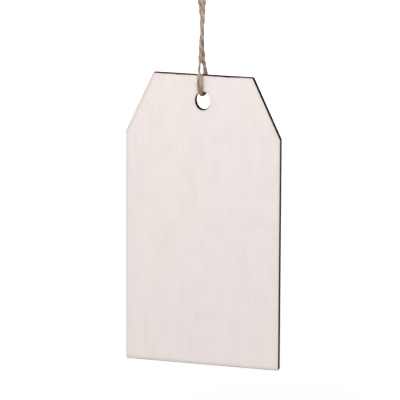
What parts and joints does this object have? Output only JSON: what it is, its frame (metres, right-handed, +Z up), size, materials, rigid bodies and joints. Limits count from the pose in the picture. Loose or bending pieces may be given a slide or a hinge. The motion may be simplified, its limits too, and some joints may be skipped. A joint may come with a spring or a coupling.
{
  "type": "gift tag",
  "caption": "Laser-cut plywood gift tag with cut top corners and an oval hole, hanging and swinging on a loop of jute twine that ends in a knot.",
  "frame": {"origin": "hanging point: the top of the small eye in the twine, just under the knot, where a hook or peg holds it", "axes": "+Z up along the hanging twine, the tag's front face towards -Y, +X to the right seen from the front"},
  "size_m": [0.054, 0.0056, 0.1546],
  "materials": {
    "veneer": "bare sanded face, edges scorched dark brown by the laser",
    "core": "bare, edges scorched dark brown by the laser",
    "twine": "natural twisted jute with loose fibres"
  },
  "bodies": {
    "twine": {"twine_loop": "twine", "twine_knot": "twine", "twine_tail_right": "twine", "twine_tail_left": "twine"},
    "tag": {"front_veneer": "veneer", "core_ply": "core", "back_veneer": "veneer"}
  },
  "joints": [
    {"name": "tag_swing", "type": "hinge", "parent": "twine", "child": "tag", "pos_m": [0, 0, -0.04434], "axis": [0, 1, 0], "range_deg": [-35, 35]}
  ]
}
